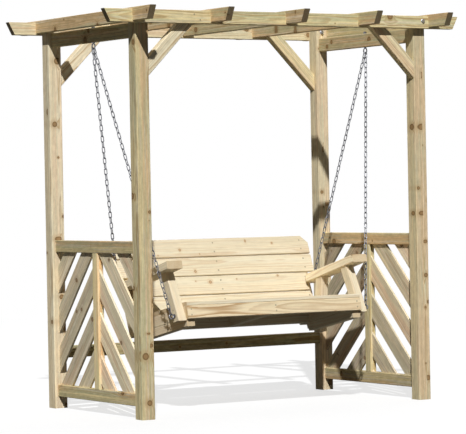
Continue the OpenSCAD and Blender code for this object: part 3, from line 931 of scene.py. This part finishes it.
@dataclass
class SidePanel:
    """Herringbone panel between a front and a rear post.

    Gaps and starts are those of the slats behind the muntin, then of those before it.
    """

    side: Side
    slope: float
    gaps: Pair
    starts: Pair
    first_seed: int
    screw_seed: int
    slat_seed: int
    # Shades of rails, muntin and slats: partly each board's own tone, partly painted light and
    # shade.
    top_shade: float = 0.84
    bottom_shade: float = 0.82
    muntin_shade: float = 1.0
    # Slat shades behind and before the muntin; the second is a painted sheen.
    slat_shades: Pair = (0.96, 1.38)
    muntin: float = 0.050
    slat_width: float = 0.088
    post_inner: float = 0.410
    rail: float = 0.035
    half_x: float = 0.8125
    screw_levels: tuple[float, ...] = (0.078, 0.102, 0.808, 0.832)
    screw_inset: float = 0.022

    def dress(self) -> None:
        """Gives rails, muntin and slats their grain."""
        pieces = (
            ("top_rail", Y, Z, self.top_shade), ("bottom_rail", Y, Z, self.bottom_shade),
            ("muntin", Z, Y, self.muntin_shade),
        )
        for number, (name, along, across, shade) in enumerate(pieces):
            node = f"panel_{self.side.word}_{name}"
            lay = Lay(middle(node), along, across, self.first_seed + number, shade=shade)
            dress(node, TREATED.material(node, lay))
        node = f"panel_{self.side.word}_slats"
        pitches = tuple((self.slat_width + gap) / math.cos(self.slope) for gap in self.gaps)
        lay = Lay(
            (self.side.value * self.half_x, 0.0, 0.0), Y, Z, self.slat_seed, Pattern.HERRINGBONE,
            self.starts, pitches, self.slope, self.muntin, *self.slat_shades,
        )
        dress(node, SLATTED.material(node, lay))

    def fix(self) -> None:
        """Two screws at each end of each rail, in its inner face."""
        face = self.side.value * (self.half_x - self.rail / 2)
        end = self.post_inner - self.screw_inset
        places = np.array([(face, y, level) for y in (-end, end) for level in self.screw_levels])
        normals = np.tile((-float(self.side.value), 0.0, 0.0), (len(places), 1))
        name = f"screws_panel_{self.side.word}"
        Screw().drive(name, places, normals, Body.FRAME, self.screw_seed)


def tilted(angle: float) -> np.ndarray:
    """Axes in rows, turned backwards about X by the angle."""
    c, s = math.cos(angle), math.sin(angle)
    return np.array([[1, 0, 0], [0, c, -s], [0, s, c]])


@dataclass
class Bench:
    """Slatted bench: seat, backrest and arms, in the seat's own tilted axes.

    A post's foot and the levels of screws are depths and heights in those axes, and a pair
    of screws stands at two shares of a board's width.
    """

    tilt: float = math.radians(11.3)
    recline: float = math.radians(10.5)
    lean: float = math.radians(16.0)
    arm_slope: float = math.radians(2.8)
    front: float = 0.342
    height: float = 0.549
    depth: float = 0.455
    depth_spare: float = 0.001
    half: float = 0.512
    stick: float = 0.045
    slat: float = 0.020
    slat_gap: float = 0.0065
    slats: int = 5
    board: float = 0.064
    back_slat: float = 0.097
    back_gap: float = 0.006
    back_lap: float = 0.0095
    arm_height: float = 0.206
    arm_screws: Pair = (0.115, 0.350)
    rear_foot: Pair = (0.4324, -0.129)
    rear_levels: Pair = (-0.036, -0.062)
    front_foot: Pair = (0.0446, -0.090)
    front_level: float = -0.032
    slat_pair: Pair = (0.25, 0.75)
    board_pair: Pair = (0.28, 0.72)
    row_seeds: tuple[int, int, int] = (101, 102, 103)
    first_seed: int = 110
    screw_seed: int = 9
    long_branches: tuple[Branch, ...] = (
        ("z", -0.205, 0.350, 0.0065), ("z", 0.361, 0.373, 0.005),
    )
    short_branches: tuple[Branch, ...] = (
        ("z", -0.065, 0.170, 0.0075), ("z", 0.351, 0.190, 0.005),
    )
    # Shades lighten the arms and the front board: partly their own tone, partly painted light.
    shades: tuple[tuple[str, float], ...] = (
        ("arm_left", 1.05), ("arm_right", 1.28), ("front_board", 1.05),
    )

    def __post_init__(self) -> None:
        """Works out the tilted axes in rows, and the width and pitch that the gaps leave."""
        self.seat_axes = tilted(self.tilt)
        self.back_axes = tilted(self.tilt + self.recline)
        run = self.depth - self.slat * math.tan(self.recline) - self.depth_spare
        self.slat_width = (run - (self.slats - 1) * self.slat_gap) / self.slats
        self.pitch = self.slat_width + self.slat_gap
        self.back_pitch = self.back_slat + self.back_gap

    def on_seat(self, points: Sequence[Place]) -> np.ndarray:
        """Turns points from the seat's axes: place = front edge + point · axes."""
        return np.array([0, -self.front, self.height]) + np.array(points, float) @ self.seat_axes

    def on_back(self, points: Sequence[Place]) -> np.ndarray:
        """Turns points from the backrest's axes, whose origin is at the rear of the seat."""
        return self.on_seat([(0, self.depth, 0)]) + np.array(points, float) @ self.back_axes

    def lays(self) -> dict[str, Lay]:
        """How every board of the bench lies.

        Returns:
            A lay for each node's name.
        """
        rear, up = (tuple(row) for row in self.seat_axes[1:])
        back_up = tuple(self.back_axes[2])
        start = tuple(self.on_seat([(0, 0, -self.slat / 2)])[0])
        back_start = tuple(self.on_back([(0, self.slat / 2, 0)])[0])
        seat_seed, long_seed, short_seed = self.row_seeds
        long_slats = Lay(back_start, X, back_up, long_seed, Pattern.ROW, (0.0, 0.0),
                         (self.back_pitch,) * 2, branches=self.long_branches)
        found = {
            "seat_slats": Lay(start, X, rear, seat_seed, Pattern.ROW,
                              (-self.slat_gap / 2, 0.0), (self.pitch,) * 2),
            "back_slats_long": long_slats,
            "back_slats_short": replace(long_slats, seed=short_seed, branches=self.short_branches),
        }
        singles = {
            "front_board": (X, up), "rear_cross_rail": (X, up), "seat_bearer": (rear, up),
            "upright_middle": (back_up, X),
        }
        slope = np.array([0, math.cos(self.arm_slope), -math.sin(self.arm_slope)]) @ self.seat_axes
        for side in Side:
            singles[f"side_rail_{side.word}"] = (rear, up)
            singles[f"lower_rail_{side.word}"] = (rear, up)
            singles[f"upright_{side.word}"] = (back_up, X)
            singles[f"arm_{side.word}"] = (tuple(slope), X)
            for place, lean in (("front", self.lean), ("rear", -self.lean)):
                post = np.array([0, math.sin(lean), math.cos(lean)]) @ self.seat_axes
                singles[f"arm_post_{place}_{side.word}"] = (tuple(post), X)
        for number, (node, (along, across)) in enumerate(singles.items()):
            found[node] = Lay(middle(node), along, across, self.first_seed + number)
        for node, shade in self.shades:
            found[node] = replace(found[node], shade=shade)
        return found

    def dress(self) -> None:
        """Gives every board of the bench its grain."""
        for node, lay in self.lays().items():
            timber = GRAINY if node == "front_board" else PALE
            dress(node, timber.material(node, lay))

    def cheek_screws(self) -> list[Place]:
        """Screws in the leaning arm posts' outer faces, where they cross the side rails.

        Returns:
            Places in the seat's axes.
        """
        (rear_depth, rear_low), (front_depth, front_low) = self.rear_foot, self.front_foot
        lean = math.tan(self.lean)
        spots = [(rear_depth - (level - rear_low) * lean, level) for level in self.rear_levels]
        spots.append((front_depth + (self.front_level - front_low) * lean, self.front_level))
        return [(side * (self.half + self.stick), *spot) for side in (-1, 1) for spot in spots]

    def fix(self) -> None:
        """Screws in pairs where a slat crosses a rail, an upright or an arm post."""
        inner, outer = self.half - self.stick / 2, self.half + self.stick / 2
        across = (-inner, 0.0, inner)
        seat = [
            (x, number * self.pitch + share * self.slat_width, 0.0)
            for x in across for number in range(self.slats) for share in self.slat_pair
        ]
        board = [(x, 0.0, -self.slat - self.board * s) for x in across for s in self.board_pair]
        lap = self.half + self.back_lap
        back = [
            (x, 0.0, self.back_gap / 2 + number * self.back_pitch + share * self.back_slat)
            for number, edge in enumerate((lap, lap, outer, outer))
            for x in (-edge, 0.0, edge) for share in self.slat_pair
        ]
        arms = [
            (side * outer, depth, self.arm_height - depth * math.tan(self.arm_slope))
            for side in (-1, 1) for depth in self.arm_screws
        ]
        arm_up = np.array([0, math.sin(self.arm_slope), math.cos(self.arm_slope)]) @ self.seat_axes
        groups = [
            (self.on_seat(seat), self.seat_axes[2]), (self.on_seat(board), -self.seat_axes[1]),
            (self.on_back(back), -self.back_axes[1]), (self.on_seat(arms), arm_up),
        ]
        groups += [
            (self.on_seat([cheek]), (math.copysign(1.0, cheek[0]), 0.0, 0.0))
            for cheek in self.cheek_screws()
        ]
        places = np.concatenate([spots for spots, _ in groups])
        normals = np.concatenate([np.tile(normal, (len(spots), 1)) for spots, normal in groups])
        Screw().drive("screws_bench", places, normals, Body.BENCH, self.screw_seed)


@dataclass
class Ironwork:
    """Bright zinc beam bolts; chains, hangers and eye bolts dull and dark, partly painted
    reflection.
    """

    coats: tuple[tuple[Zinc, tuple[str, ...]], ...] = (
        (PLATED, ("beam_bolts",)),
        (CHAIN_STEEL, (
            "chain_front_left", "chain_front_right", "chain_rear_left", "chain_rear_right",
            "hanger_left", "hanger_right", "seat_eye_bolts",
        )),
    )

    def dress(self) -> None:
        """Gives every piece its coat."""
        for coat, nodes in self.coats:
            for node in nodes:
                dress(node, coat.material(node))


@dataclass
class Studio:
    """Pale floor, even light and the camera. Focal length and middle are in pixels."""

    width: int = 466
    height: int = 434
    focal: float = 2496.8
    middle: Pair = (232.564, 215.348)
    place: Place = (-6.7084, -10.8004, 1.0817)
    azimuth: float = math.radians(-31.742)
    pitch: float = math.radians(-0.554)
    roll: float = math.radians(-1.084)
    sensor: float = 36.0
    sight: float = 200.0
    key_strength: float = 3.8
    key_direction: Place = (-0.555, -0.946, 1.0)
    key_width: float = math.radians(1.2)
    fill_strength: float = 1.5
    fill_direction: Place = (0.62, 0.70, 0.35)
    fill_width: float = math.radians(70)
    sky: float = 0.06
    floor_half: float = 60.0
    floor_level: float = -0.0005
    floor_fade: Pair = (2.5, 9.0)
    floor_seen: float = 1.0
    floor_paint: float = 0.09
    floor_glow: float = 0.70

    def camera(self) -> None:
        """Sets the camera: forward, right and up from azimuth, pitch and roll."""
        a, p, r = self.azimuth, self.pitch, self.roll
        forward = Vector((-math.sin(a) * math.cos(p), math.cos(a) * math.cos(p), math.sin(p)))
        right = Vector((math.cos(a), math.sin(a), 0))
        up = right.cross(forward)
        turned_right = math.cos(r) * right + math.sin(r) * up
        turned_up = -math.sin(r) * right + math.cos(r) * up
        camera = bpy.data.objects.new("camera", bpy.data.cameras.new("camera"))
        bpy.context.scene.collection.objects.link(camera)
        matrix = Matrix((turned_right, turned_up, -forward)).transposed().to_4x4()
        matrix.translation = Vector(self.place)
        camera.matrix_world = matrix
        camera.data.sensor_width = self.sensor
        camera.data.lens = self.focal * self.sensor / self.width
        camera.data.shift_x = (self.width / 2 - self.middle[0]) / self.width
        camera.data.shift_y = (self.middle[1] - self.height / 2) / self.width
        camera.data.clip_end = self.sight
        bpy.context.scene.camera = camera

    def floor(self) -> None:
        """Pale floor that melts into the white surround far off and keeps the shadow."""
        mesh = bpy.data.meshes.new("floor")
        corners = np.array([[-1, -1], [1, -1], [1, 1], [-1, 1]]) * self.floor_half
        mesh.from_pydata([(*c, self.floor_level) for c in corners.tolist()], [], [(0, 1, 2, 3)])
        floor = bpy.data.objects.new("floor", mesh)
        bpy.context.scene.collection.objects.link(floor)
        graph = Graph(bpy.data.materials.new("pale_floor"))
        far = graph.step(graph.scalar("LENGTH", graph.source("Object")), *self.floor_fade)
        seen = graph.seen()
        more = self.floor_seen - self.floor_paint
        level = graph.math("MULTIPLY_ADD", seen, more, self.floor_paint)
        paint = graph.add("BsdfDiffuse", {"Color": graph.combine(level, level, level)})
        glowing = graph.math("MULTIPLY_ADD", far, 1 - self.floor_glow, self.floor_glow)
        graph.close(graph.add("MixShader", {
            0: graph.math("MULTIPLY", seen, glowing), 1: paint.outputs[0],
            2: graph.add("Emission").outputs[0],
        }))
        mesh.materials.append(graph.owner)

    def light(self) -> None:
        """Key light from the upper left front and a soft fill from behind, both as suns."""
        for name, strength, direction, width in (
            ("key", self.key_strength, self.key_direction, self.key_width),
            ("fill", self.fill_strength, self.fill_direction, self.fill_width),
        ):
            lamp = bpy.data.lights.new(name, "SUN")
            lamp.energy = strength
            lamp.angle = width
            holder = bpy.data.objects.new(name, lamp)
            holder.rotation_euler = Vector(direction).to_track_quat("Z", "Y").to_euler()
            bpy.context.scene.collection.objects.link(holder)

    def surround(self) -> None:
        """Even surround: white where it is seen, and faint as a light."""
        graph = Graph(bpy.data.worlds.new("surround"))
        bpy.context.scene.world = graph.owner
        level = graph.add("MapRange", {"Value": graph.seen(), "To Min": self.sky, "To Max": 1.0})
        white = {"Color": (1, 1, 1, 1), "Strength": level.outputs[0]}
        graph.close(graph.add("Background", white), "OutputWorld")

    def build(self) -> None:
        """Builds the whole studio."""
        self.camera()
        self.floor()
        self.light()
        self.surround()
        bpy.context.scene.view_settings.view_transform = "Standard"


def main() -> None:
    """Dresses the model, adds its small fixings and sets the studio."""
    logging.basicConfig(level=logging.INFO, format="%(name)s %(message)s")
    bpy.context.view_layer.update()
    Studio().build()
    # The left panel's shades are raised: partly the boards' own tone, partly painted light.
    left = SidePanel(
        Side.LEFT, slope=math.radians(48), gaps=(0.047, 0.053), starts=(0.166, 0.108),
        first_seed=80, slat_seed=85, screw_seed=5,
        bottom_shade=0.96, muntin_shade=1.20, slat_shades=(1.22, 1.56),
    )
    right = SidePanel(
        Side.RIGHT, slope=math.radians(44), gaps=(0.056, 0.056), starts=(0.147, 0.160),
        first_seed=90, slat_seed=95, screw_seed=7, top_shade=1.0,
    )
    for part in (Pergola(), left, right, Bench()):
        part.dress()
        part.fix()
    Ironwork().dress()


if __name__ == "__main__":
    main()
